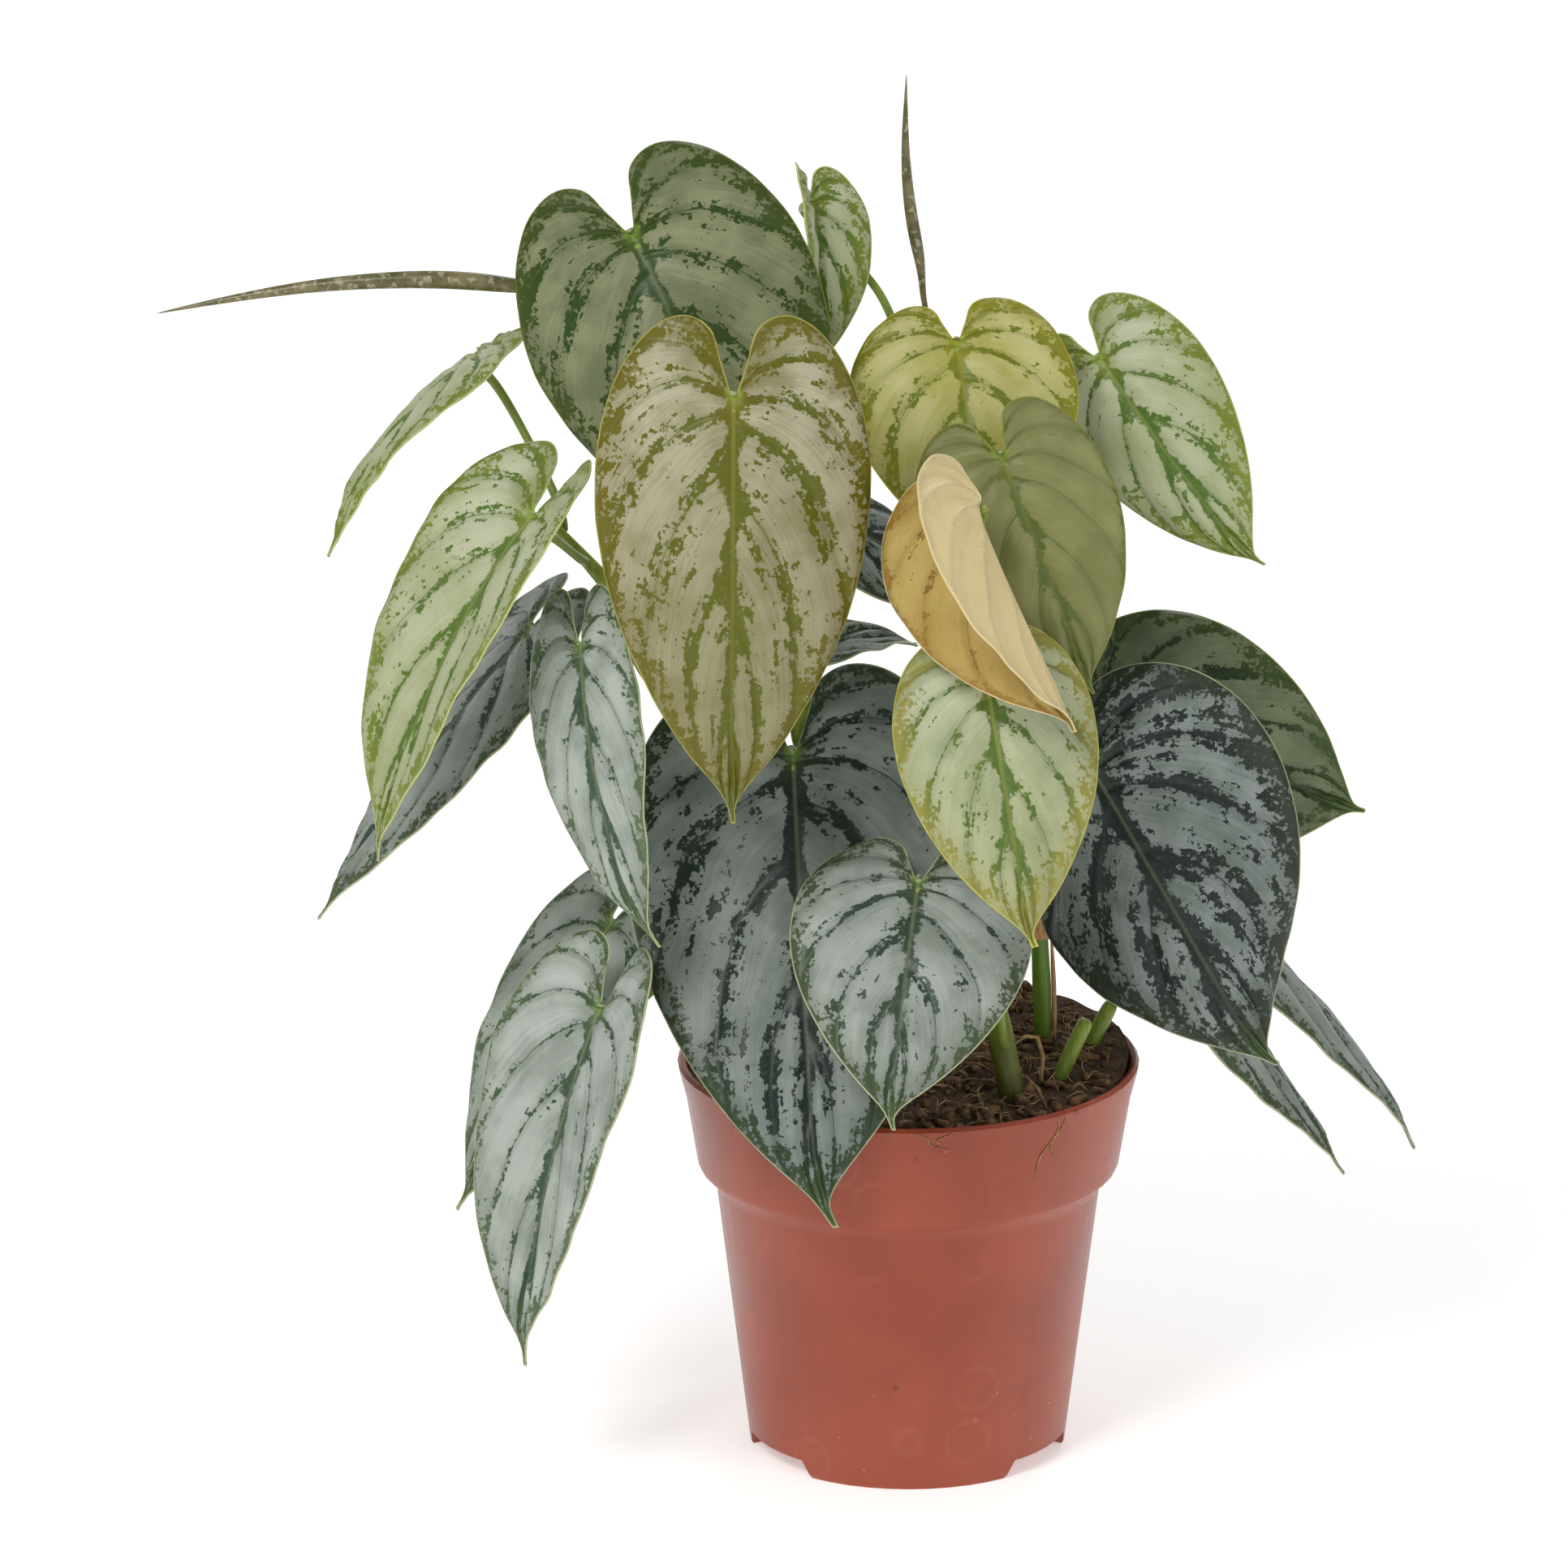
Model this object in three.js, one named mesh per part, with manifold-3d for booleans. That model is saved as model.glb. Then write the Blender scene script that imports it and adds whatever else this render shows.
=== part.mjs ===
// A trailing philodendron with silver-splashed, heart-shaped leaves, growing in a plastic nursery pot.
// Millimetres, +Z up. The pot's axis is the z axis until the whole group is centred on its own box.
import * as THREE from "three";
import { mergeVertices } from "three/addons/utils/BufferGeometryUtils.js";
import Module from "manifold-3d";

const wasm = await Module();
wasm.setup();

// Driving dimensions, in millimetres.
const POT_HEIGHT = 105;
const RIM_RADIUS = 60;
const BASE_RADIUS = 41.2;
const WALL = 1.6;
const BAND_HEIGHT = 27;
const BAND_STEP = 4.2;
const STEP_DROP = 7;
const FOOT_HEIGHT = 4.5;
const FOOT_SWEEP = 84;
const FEET = 3;
const SOIL_BELOW_RIM = 3;
const SOIL_CROWN = 4;
const BLADE_THICKNESS = 1.1;
const PETIOLE_RADIUS = 1.25;
const STEM_RADIUS = 3.2;
const STEM_ROOT_DEPTH = 16;
const GAP = 0.3;

const SOIL_TOP = POT_HEIGHT - SOIL_BELOW_RIM;
// A wider pot holds a wider plant: stems and leaves spread in step with the rim.
const SPREAD = RIM_RADIUS / 60;
// The petiole's end clears the underside of the blade by a share of its own radius.
const JOINT_GAP = PETIOLE_RADIUS * 0.24;
const STEM_SIDES = 10;
const STEM_STEPS = 18;

const potPlastic = { color: 0xa5513c, roughness: 0.32, metalness: 0 };
const pottingSoil = { color: 0x2a1d15, roughness: 0.95, metalness: 0 };
const greenStem = { color: 0x7f8f3a, roughness: 0.5, metalness: 0 };
const darkLeaf = { color: 0x5f6f62, roughness: 0.5, metalness: 0 };
const greenLeaf = { color: 0x7c9468, roughness: 0.5, metalness: 0 };
const oliveLeaf = { color: 0x8a8650, roughness: 0.5, metalness: 0 };
const yellowLeaf = { color: 0xc9a04e, roughness: 0.5, metalness: 0 };
const newLeaf = { color: 0x6a6436, roughness: 0.35, metalness: 0 };
const drySheath = { color: 0xc98a55, roughness: 0.75, metalness: 0 };

const plant = new THREE.Group();

function add(name, geometry, look) {
  const mesh = new THREE.Mesh(geometry, new THREE.MeshStandardMaterial(look));
  mesh.name = name;
  plant.add(mesh);
  return mesh;
}

function toSolid(geometry) {
  const bare = geometry.clone();
  bare.deleteAttribute("normal");
  bare.deleteAttribute("uv");
  const welded = mergeVertices(bare, 1e-4);
  return new wasm.Manifold(
    new wasm.Mesh({
      numProp: 3,
      vertProperties: welded.attributes.position.array,
      triVerts: new Uint32Array(welded.index.array),
    }),
  );
}

function toGeometry(solid) {
  const mesh = solid.getMesh();
  const geometry = new THREE.BufferGeometry();
  geometry.setAttribute("position", new THREE.BufferAttribute(mesh.vertProperties, 3));
  geometry.setIndex(new THREE.BufferAttribute(mesh.triVerts, 1));
  geometry.computeVertexNormals();
  return geometry;
}

// A closed profile of [radius, height] pairs turned about the z axis.
function turned(profile, segments) {
  const points = profile.map(([radius, height]) => new THREE.Vector2(radius, height));
  return new THREE.LatheGeometry(points, segments).rotateX(Math.PI / 2);
}

// ---- Pot: a rolled rim band over a tapering body, standing on three shallow feet ----

const bandFoot = POT_HEIGHT - BAND_HEIGHT;
const stepFoot = bandFoot - STEP_DROP;
const bodyTop = RIM_RADIUS - 5 - BAND_STEP - 0.8;
const floorHeight = FOOT_HEIGHT + 1.5;

function makePot() {
  const profile = [
    [0, floorHeight],
    [BASE_RADIUS - 9, floorHeight],
    [BASE_RADIUS - 6, 0],
    [BASE_RADIUS - 0.6, 0],
    [BASE_RADIUS, 1],
    [bodyTop, stepFoot],
    [bodyTop + 1.2, stepFoot + 2.6],
    [RIM_RADIUS - 5.6, bandFoot - 1.6],
    [RIM_RADIUS - 5, bandFoot],
    [RIM_RADIUS - 2, POT_HEIGHT - 9],
    [RIM_RADIUS - 0.3, POT_HEIGHT - 2.6],
    [RIM_RADIUS, POT_HEIGHT - 1],
    [RIM_RADIUS - 0.8, POT_HEIGHT],
    [RIM_RADIUS - 2, POT_HEIGHT - 0.6],
    [RIM_RADIUS - 2 - WALL, POT_HEIGHT - 9],
    [RIM_RADIUS - 5 - WALL, bandFoot],
    [bodyTop - WALL, stepFoot + 1],
    [BASE_RADIUS - WALL, floorHeight + 1.6],
    [0, floorHeight + 1.6],
  ];
  let pot = toSolid(turned(profile, 48));
  const notchSweep = 360 / FEET - FOOT_SWEEP;
  for (let foot = 0; foot < FEET; foot++) {
    const middle = THREE.MathUtils.degToRad(90 + foot * (360 / FEET));
    const half = THREE.MathUtils.degToRad(notchSweep / 2);
    const reach = BASE_RADIUS * 1.2;
    const inner = BASE_RADIUS - 12;
    const slope = FOOT_HEIGHT * 0.7;
    const outline = new THREE.Shape([
      new THREE.Vector2(-reach * Math.tan(half), -1),
      new THREE.Vector2(reach * Math.tan(half), -1),
      new THREE.Vector2(reach * Math.tan(half) - slope, FOOT_HEIGHT),
      new THREE.Vector2(-reach * Math.tan(half) + slope, FOOT_HEIGHT),
    ]);
    const notch = new THREE.ExtrudeGeometry(outline, { depth: reach - inner, bevelEnabled: false });
    notch.rotateX(Math.PI / 2).translate(0, -inner, 0).rotateZ(middle + Math.PI / 2);
    pot = pot.subtract(toSolid(notch));
  }
  const drain = new THREE.CylinderGeometry(4, 4, 20, 10).rotateX(Math.PI / 2);
  for (let hole = 0; hole < FEET * 2; hole++) {
    const angle = (hole * Math.PI) / FEET;
    const place = drain.clone().translate(0, BASE_RADIUS * 0.5, floorHeight).rotateZ(angle);
    pot = pot.subtract(toSolid(place));
  }
  return toGeometry(pot);
}

add("pot", makePot(), potPlastic);

// ---- Stems: rooted in the soil, each a round tube that follows a hand-chosen route ----

// A place above the soil's edge level, spread sideways with the pot.
function above([x, y, z]) {
  return new THREE.Vector3(x * SPREAD, y * SPREAD, SOIL_TOP + z);
}

function tube(route, radius, sides, steps) {
  const section = new THREE.Shape();
  for (let side = 0; side < sides; side++) {
    const angle = (side / sides) * Math.PI * 2;
    const place = [radius * Math.cos(angle), radius * Math.sin(angle)];
    if (side === 0) section.moveTo(...place);
    else section.lineTo(...place);
  }
  return new THREE.ExtrudeGeometry(section, { steps, extrudePath: route });
}

const stemRoutes = {
  vine: [
    [-16, 12, -STEM_ROOT_DEPTH], [-18, 12, 0], [-30, 14, 46], [-52, 8, 92], [-72, 0, 124], [-92, -2, 148],
  ],
  centre: [
    [27, -30, -STEM_ROOT_DEPTH], [27, -31, 0], [22, -25, 24], [8, 0, 56], [-18, 16, 86],
    [-29, 17, 105], [-36, 16, 135], [-44, 16, 170], [-54, 16, 198],
  ],
  right: [
    [34, 6, -STEM_ROOT_DEPTH], [35, 6, 0], [34, 4, 34], [30, 4, 78],
    [24, 8, 120], [16, 16, 160], [8, 20, 186],
  ],
  rear: [[20, 30, -STEM_ROOT_DEPTH], [21, 31, 0], [30, 35, 40], [40, 38, 84], [44, 36, 124]],
};
const stemRadii = { vine: 0.64, centre: 1.05, right: 0.9, rear: 0.8 };
const stems = {};
for (const [name, points] of Object.entries(stemRoutes)) {
  const route = new THREE.CatmullRomCurve3(points.map(above), false, "centripetal");
  const radius = STEM_RADIUS * stemRadii[name];
  stems[name] = { route, radius, sides: STEM_SIDES, steps: STEM_STEPS };
  add("stem_" + name, tube(route, radius, STEM_SIDES, STEM_STEPS), greenStem);
}

// ---- Leaves: a heart-shaped blade with a drip tip, carried on a thin petiole ----

// Half of a flat blade's outline, notch to lobe to tip: across and along, in blade lengths.
const HALF_OUTLINE = [
  [0.06, -0.155],
  [0.135, -0.185],
  [0.235, -0.13],
  [0.31, -0.01],
  [0.345, 0.15],
  [0.335, 0.33],
  [0.285, 0.52],
  [0.2, 0.7],
  [0.11, 0.84],
  [0.045, 0.93],
  [0.016, 0.975],
  [0.007, 1],
];
// Where on the midrib the vein that ends at each outline point begins.
const VEIN_STARTS = [0, 0.009, 0.019, 0.032, 0.06, 0.15, 0.3, 0.48, 0.67, 0.84, 0.94, 1];
const FIELDS_ACROSS = 3;

function makeLeaf(leaf) {
  const notch = above(leaf.notch);
  const tip = above(leaf.tip);
  const length = notch.distanceTo(tip);
  const along = tip.clone().sub(notch).normalize();
  const facing = new THREE.Vector3(...leaf.face);
  facing.addScaledVector(along, -facing.dot(along)).normalize();
  const across = facing.clone().cross(along);
  const bow = leaf.bow ?? 0.1;
  const wave = leaf.wave ?? 0.012;
  const twist = leaf.twist ?? 0;
  const hook = leaf.hook ?? 0;
  const width = leaf.width ?? 1;

  // A flat spot [x across, m along], in blade lengths, carried onto the bent blade's half called side.
  function place(x, m, side, offset) {
    const fold = side < 0 ? leaf.fold[0] : leaf.fold[1];
    const curl = side < 0 ? leaf.curl[0] : leaf.curl[1];
    const rise = m > 0 ? 4 * bow * m * (1 - m) : 4 * bow * m;
    const slope = m > 0 ? 4 * bow * (1 - 2 * m) : 4 * bow;
    const forward = along.clone().addScaledVector(facing, slope).normalize();
    const upward = across.clone().cross(forward).negate();
    const turn = twist * m;
    const turned = [Math.cos(turn), Math.sin(turn)];
    const sideways = across.clone().multiplyScalar(turned[0]).addScaledVector(upward, turned[1]);
    const out = upward.multiplyScalar(turned[0]).addScaledVector(across, -turned[1]);
    const far = Math.abs(x) * width;
    const bend = Math.abs(curl) < 1e-3 ? 1e-3 : curl;
    const lean = fold + bend * far;
    const ridgeLean = (leaf.fold[1] - leaf.fold[0]) / 2;
    const reach = (Math.sin(lean) - Math.sin(fold)) / bend;
    const ripple = wave * Math.sin(9 * m + (side < 0 ? 1 : 3)) * (far / 0.34) ** 2;
    const height = (Math.cos(lean) - Math.cos(fold)) / bend + ripple;
    const drip = Math.max(0, m - 0.8) / 0.2;
    const spot = notch.clone();
    spot.addScaledVector(along, m * length);
    spot.addScaledVector(facing, rise * length);
    spot.addScaledVector(sideways, (side * reach + hook * drip * drip) * length);
    spot.addScaledVector(out, height * length);
    const slant = x === 0 ? ridgeLean : side * lean;
    const normal = out.clone().multiplyScalar(Math.cos(slant)).addScaledVector(sideways, Math.sin(slant));
    return { spot: spot.addScaledVector(normal, offset), out, forward };
  }

  const rows = HALF_OUTLINE.length - 1;
  const blade = new THREE.BoxGeometry(2, 1, 1, FIELDS_ACROSS * 2, rows, 1);
  const corners = blade.getAttribute("position");
  for (let i = 0; i < corners.count; i++) {
    const row = Math.round((0.5 - corners.getY(i)) * rows);
    const share = corners.getX(i);
    const side = share < 0 ? -1 : 1;
    const [edgeX, edgeM] = HALF_OUTLINE[row];
    const x = Math.abs(share) * edgeX;
    const m = THREE.MathUtils.lerp(VEIN_STARTS[row], edgeM, Math.abs(share));
    const half = (BLADE_THICKNESS / 2) * (share === 0 && row === 0 ? 0.9 : 1);
    corners.setXYZ(i, ...place(x, m, side, corners.getZ(i) * 2 * half).spot);
  }
  return { blade, place };
}

// The petiole leaves the stem square to it, runs through any middle places and ends under the notch.
function makePetiole(leaf, place) {
  const { route, radius } = stems[leaf.stem];
  const root = route.getPointAt(leaf.from);
  const stemLine = route.getTangentAt(leaf.from);
  const droop = Math.max(0, ...leaf.fold);
  const joint = place(0, 0.03, 1, 0);
  const drop = BLADE_THICKNESS / 2 + JOINT_GAP + PETIOLE_RADIUS * Math.tan(droop);
  joint.spot.addScaledVector(joint.out, -drop);
  const arrival = joint.spot.clone().addScaledVector(joint.out, -7).addScaledVector(joint.forward, -2);
  const middle = (leaf.via ?? []).map(above);
  const away = (middle[0] ?? arrival).clone().sub(root);
  away.addScaledVector(stemLine, -away.dot(stemLine)).normalize();
  const start = root.clone().addScaledVector(away, radius + GAP + PETIOLE_RADIUS * 0.45);
  const lead = root.clone().addScaledVector(away, radius + 5).addScaledVector(stemLine, 2);
  const points = [start, lead, ...middle, arrival, joint.spot];
  const line = new THREE.CatmullRomCurve3(points, false, "centripetal");
  return tube(line, PETIOLE_RADIUS, 6, leaf.via ? 12 : 9);
}

// Each leaf: where its notch and tip are, which way its upper face looks, and how its halves fold and curl.
const leaves = {
  crown: {
    stem: "centre", from: 0.95, notch: [-71, 0, 224], tip: [-26, -20, 136], face: [-0.1, -0.95, 0.35],
    width: 1.12, fold: [0.1, 0.1], curl: [0.6, 0.4], look: greenLeaf,
  },
  front: {
    stem: "centre", from: 0.6, notch: [-45, -60, 198], tip: [-46, -68, 88], face: [0.02, -0.96, 0.25],
    width: 0.93, fold: [0.12, 0.12], curl: [0.6, 0.6], bow: 0.06, via: [[-40, -22, 120], [-46, -42, 165]],
    look: oliveLeaf,
  },
  yellow: {
    stem: "right", from: 0.93, notch: [12, 2, 195], tip: [20, -22, 138], face: [0, -0.9, 0.45],
    width: 1.38, fold: [0.1, 0.1], curl: [0.5, 0.5], look: oliveLeaf,
  },
  olive: {
    stem: "right", from: 0.55, notch: [23, -34, 175], tip: [46, -42, 114], face: [0.1, -0.95, 0.2],
    width: 1.17, fold: [0.1, 0.15], curl: [0.7, 0.9], via: [[28, -16, 112], [25, -28, 148]],
    look: oliveLeaf,
  },
  young: {
    stem: "right", from: 0.68, notch: [17, -64, 172], tip: [41, -84, 117], face: [-0.15, -0.95, 0.2],
    width: 1.5, fold: [0.1, -1.7], curl: [0.5, -0.9], bow: 0.06, wave: 0,
    via: [[10, -22, 126], [9, -46, 140]], look: yellowLeaf,
  },
  mid: {
    stem: "right", from: 0.6, notch: [19, -60, 124], tip: [30, -84, 60], face: [0.02, -0.93, 0.38],
    width: 1.1, fold: [0.12, 0.12], curl: [0.6, 0.6], bow: 0.06, via: [[21, -28, 130]], look: greenLeaf,
  },
  far_right: {
    stem: "rear", from: 0.97, notch: [49, 22, 185], tip: [90, 10, 132], face: [-0.25, -0.9, 0.35],
    width: 1, fold: [0.35, 0.1], curl: [0.6, 0.4], hook: 0.02, look: greenLeaf,
  },
  high_left: {
    stem: "vine", from: 0.98, notch: [-111, 22, 186], tip: [-148, -8, 141], face: [-0.8, -0.12, 0.5],
    width: 0.9, fold: [0.1, 0.1], curl: [0.3, 0.3], hook: -0.03, look: greenLeaf,
  },
  left: {
    stem: "vine", from: 0.93, notch: [-96, -30, 158], tip: [-136, -48, 72], face: [-0.74, -0.6, 0.15],
    width: 0.88, fold: [-0.15, -0.4], curl: [0.5, -0.4], bow: 0.08, look: greenLeaf,
  },
  left_small: {
    stem: "vine", from: 0.8, notch: [-84, -42, 127], tip: [-66, -56, 51], face: [-0.68, -0.68, 0.2],
    width: 0.68, fold: [0, 0], curl: [0.3, 0.3], bow: 0.08, hook: 0.03, look: darkLeaf,
  },
  left_under: {
    stem: "vine", from: 0.85, notch: [-98, 10, 116], tip: [-152, -10, 43], face: [-0.72, -0.2, 0.6],
    width: 0.86, fold: [0.1, 0.1], curl: [0.4, 0.4], bow: 0.03, look: darkLeaf,
  },
  centre: {
    stem: "centre", from: 0.3, notch: [-30, -12, 89], tip: [-24, -74, -19], face: [-0.05, -0.93, 0.3],
    width: 1.06, fold: [0.1, 0], curl: [0.4, 0.1], bow: 0.03, hook: 0.02,
    via: [[-22, 4, 62], [-31, -3, 72]], look: darkLeaf,
  },
  low_front: {
    stem: "centre", from: 0.13, notch: [2, -48, 66], tip: [-6, -86, 12], face: [-0.02, -0.85, 0.5],
    width: 1.36, fold: [0.1, 0.1], curl: [0.4, 0.4], via: [[19, -43, 46]], look: darkLeaf,
  },
  right: {
    stem: "right", from: 0.4, notch: [45, -27, 90], tip: [92, -44, 13], face: [0.05, -0.95, 0.3],
    width: 1.42, fold: [0.9, -0.1], curl: [0.5, 0.3], bow: 0.07, hook: 0.02, twist: -0.55,
    look: darkLeaf,
  },
  right_back: {
    stem: "rear", from: 0.7, notch: [53, 18, 90], tip: [118, 22, 62], face: [0.05, -0.93, 0.4],
    width: 1.32, fold: [0, 0], curl: [0.3, 0.3], look: greenLeaf,
  },
  low_left: {
    stem: "vine", from: 0.42, notch: [-79, -36, 28], tip: [-100, -48, -65], face: [-0.66, -0.72, 0.1],
    width: 0.86, fold: [-0.1, -0.4], curl: [0.3, -0.3], bow: 0.06, hook: 0.02, via: [[-54, -22, 42]],
    look: darkLeaf,
  },
  low_left_back: {
    stem: "vine", from: 0.5, notch: [-77, 4, 38], tip: [-116, -8, -37], face: [-0.75, -0.6, 0.15],
    width: 0.78, fold: [0, 0], curl: [0.3, 0.3], bow: 0.06, look: darkLeaf,
  },
  low_right_a: {
    stem: "rear", from: 0.4, notch: [64, 12, 29], tip: [113, 8, -33], face: [0.72, -0.1, 0.62],
    width: 0.72, fold: [0.2, 0.2], curl: [0.3, 0.3], bow: 0.06, hook: 0.05, look: darkLeaf,
  },
  low_right_b: {
    stem: "rear", from: 0.5, notch: [78, 38, 34], tip: [133, 40, -36], face: [0.75, 0.05, 0.6],
    width: 0.82, fold: [0.2, 0.2], curl: [0.3, 0.3], bow: 0.06, look: darkLeaf,
  },
  top_back: {
    stem: "right", from: 0.98, notch: [-26, 26, 226], tip: [-25, 18, 181], face: [0.3, -0.85, 0.25],
    width: 1, fold: [-1.1, 0], curl: [0, 0.3], via: [[-8, 26, 202]], look: greenLeaf,
  },
  mid_back: {
    stem: "centre", from: 0.58, notch: [-22, 30, 140], tip: [14, 48, 106], face: [0.3, -0.45, 0.8],
    width: 1, fold: [0.1, 0.1], curl: [0.4, 0.4], via: [[-24, 32, 126]], look: darkLeaf,
  },
  back_edge: {
    stem: "centre", from: 0.5, notch: [-34, 34, 99], tip: [3, 54, 98], face: [0.1, -0.05, 0.95],
    width: 0.95, fold: [-0.2, -0.2], curl: [0.3, 0.3], look: darkLeaf,
  },
  back_green: {
    stem: "centre", from: 0.42, notch: [-19, 3, 96], tip: [-2, -8, 62], face: [0.1, -0.9, 0.4],
    width: 1.05, fold: [0.1, 0.1], curl: [0.4, 0.4], look: greenLeaf,
  },
  rear_left: {
    stem: "centre", from: 0.7, notch: [-56, 34, 128], tip: [-58, 48, 74], face: [-0.1, 0.85, 0.35],
    width: 1.05, fold: [0.1, 0.1], curl: [0.4, 0.4], look: oliveLeaf,
  },
};
for (const [name, leaf] of Object.entries(leaves)) {
  const { blade, place } = makeLeaf(leaf);
  add("leaf_" + name + "_blade", blade, leaf.look);
  add("leaf_" + name + "_petiole", makePetiole(leaf, place), greenStem);
}

// ---- Spears: new leaves still rolled up, each a long tapering tube bent along its own line ----

function makeSpear(stem, points, girth) {
  const { route } = stems[stem];
  const outward = route.getTangentAt(1);
  const start = route.getPointAt(1).addScaledVector(outward, GAP);
  const lead = start.clone().addScaledVector(outward, 5);
  const line = new THREE.CatmullRomCurve3([start, lead, ...points.map(above)], false, "centripetal");
  const shape = [
    [0, 0], [0.4, 0], [0.42, 0.18], [0.55, 0.3], [0.95, 0.38],
    [1, 0.5], [0.72, 0.7], [0.34, 0.88], [0.12, 0.97], [0, 1],
  ];
  const spear = turned(shape.map(([radius, share]) => [radius * girth, share]), 8);
  const corners = spear.getAttribute("position");
  const reference = new THREE.Vector3(0, 1, 0);
  for (let i = 0; i < corners.count; i++) {
    const share = THREE.MathUtils.clamp(corners.getZ(i), 0, 1);
    const forward = line.getTangentAt(share);
    const first = reference.clone().cross(forward).normalize();
    const second = forward.clone().cross(first);
    const spot = line.getPointAt(share);
    spot.addScaledVector(first, corners.getX(i)).addScaledVector(second, corners.getY(i));
    corners.setXYZ(i, ...spot);
  }
  return spear;
}

const spearLeft = [
  [-68, 15, 203], [-88, 14, 205], [-112, 14, 208], [-135, 14, 209], [-160, 14, 206], [-195, 14, 199],
];
const spearTop = [[4, 20, 196], [3, 18, 210], [-1, 18, 232], [-1, 20, 262]];
add("spear_left", makeSpear("centre", spearLeft, 2.7), newLeaf);
add("spear_top", makeSpear("right", spearTop, 1.9), newLeaf);

// ---- Sheath: the dry papery leaf that wrapped the right stem's bud, now standing open beside it ----

function makeSheath() {
  const { route, radius } = stems.right;
  const sheath = new THREE.BoxGeometry(1, 1, 1, 6, 6, 1);
  const corners = sheath.getAttribute("position");
  const towards = THREE.MathUtils.degToRad(-50);
  const sweep = THREE.MathUtils.degToRad(150);
  const thickness = 0.7;
  for (let i = 0; i < corners.count; i++) {
    const share = corners.getY(i) + 0.5;
    const opened = share ** 1.5;
    const angle = towards + corners.getX(i) * sweep * (1 - 0.82 * share);
    const centre = route.getPointAt(0.245 + 0.11 * share);
    const reach = radius + GAP * 2 + thickness / 2 + 4 * opened + corners.getZ(i) * thickness;
    corners.setXYZ(i, centre.x + reach * Math.cos(angle), centre.y + reach * Math.sin(angle), centre.z);
  }
  return sheath;
}

add("sheath", makeSheath(), drySheath);

// ---- Cut stubs: two old petioles trimmed short ----

const STUB_RADIUS = 2.1;
const STUB_SIDES = 8;
const STUB_STEPS = 6;
const stubRoutes = {
  stub_front: [[36, -19, -12], [38, -18, 0], [46, -15, 18]],
  stub_rear: [[43, 1, -12], [45, 2, 0], [53, 5, 16]],
};
const rooted = Object.values(stems);
for (const [name, points] of Object.entries(stubRoutes)) {
  const route = new THREE.CatmullRomCurve3(points.map(above));
  add(name, tube(route, STUB_RADIUS, STUB_SIDES, STUB_STEPS), greenStem);
  rooted.push({ route, radius: STUB_RADIUS, sides: STUB_SIDES, steps: STUB_STEPS });
}

// ---- Soil: fills the pot to just under the rim, with a socket for everything rooted in it ----

function makeSoil() {
  const clear = WALL + GAP;
  const bottom = floorHeight + 1.6 + GAP;
  const profile = [
    [0, bottom],
    [BASE_RADIUS - clear, bottom],
    [bodyTop - clear, stepFoot + 1],
    [RIM_RADIUS - 5 - clear, bandFoot],
    [RIM_RADIUS - 2 - clear, POT_HEIGHT - 9],
    [RIM_RADIUS - 1.6 - clear, SOIL_TOP - 1.5],
    [RIM_RADIUS - 4 - clear, SOIL_TOP],
    [RIM_RADIUS * 0.62, SOIL_TOP + SOIL_CROWN * 0.6],
    [RIM_RADIUS * 0.3, SOIL_TOP + SOIL_CROWN],
    [0, SOIL_TOP + SOIL_CROWN],
  ];
  let soil = toSolid(turned(profile, 40));
  for (const { route, radius, sides, steps } of rooted) {
    soil = soil.subtract(toSolid(tube(route, radius + GAP * 1.3, sides, steps)));
    const start = route.getPointAt(0);
    const upward = route.getTangentAt(0);
    const under = start.clone().addScaledVector(upward, -GAP);
    const foot = new THREE.LineCurve3(under, start.clone().addScaledVector(upward, 3));
    soil = soil.subtract(toSolid(tube(foot, radius + GAP * 2, sides, 1)));
  }
  return toGeometry(soil);
}

add("soil", makeSoil(), pottingSoil);

// The origin is the middle of the whole plant's footprint, on the surface that the pot stands on.
const box = new THREE.Box3().setFromObject(plant);
plant.position.set(-(box.min.x + box.max.x) / 2, -(box.min.y + box.max.y) / 2, -box.min.z);

export default plant;
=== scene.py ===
import math
import random

import bmesh
import bpy
import numpy as np
from mathutils import Matrix, Vector, noise
from mathutils.bvhtree import BVHTree
from mathutils.kdtree import KDTree


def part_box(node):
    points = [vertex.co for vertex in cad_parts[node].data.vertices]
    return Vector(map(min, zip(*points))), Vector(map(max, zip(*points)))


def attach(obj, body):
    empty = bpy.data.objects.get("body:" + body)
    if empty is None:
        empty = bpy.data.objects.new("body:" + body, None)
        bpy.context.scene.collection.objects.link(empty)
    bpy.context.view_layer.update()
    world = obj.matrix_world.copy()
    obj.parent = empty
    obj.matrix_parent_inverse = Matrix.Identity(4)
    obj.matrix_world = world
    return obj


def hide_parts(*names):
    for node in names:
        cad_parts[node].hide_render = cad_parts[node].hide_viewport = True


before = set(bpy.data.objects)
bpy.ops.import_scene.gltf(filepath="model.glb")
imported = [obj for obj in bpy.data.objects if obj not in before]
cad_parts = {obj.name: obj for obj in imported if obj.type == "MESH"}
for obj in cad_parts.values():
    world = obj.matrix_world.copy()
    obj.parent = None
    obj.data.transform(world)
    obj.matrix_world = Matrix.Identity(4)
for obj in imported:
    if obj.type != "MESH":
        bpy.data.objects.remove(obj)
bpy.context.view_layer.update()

# ---- Room ----
# A broad sheet of matt white paper under a white dome, with a large soft lamp at the front left,
# a weaker one at the right and one behind. The camera stands far back, a little above the rim.

pot_low, pot_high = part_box("pot")
pot_axis = (pot_low + pot_high) / 2
plant_middle = Vector((0, 0, 0.18))
aim = Vector((pot_axis.x - 0.0323, pot_axis.y, 0.179))
camera_lift = math.radians(17.5)
camera_distance = 4.0
dome_glow = 0.46
paper_half = 12

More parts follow.
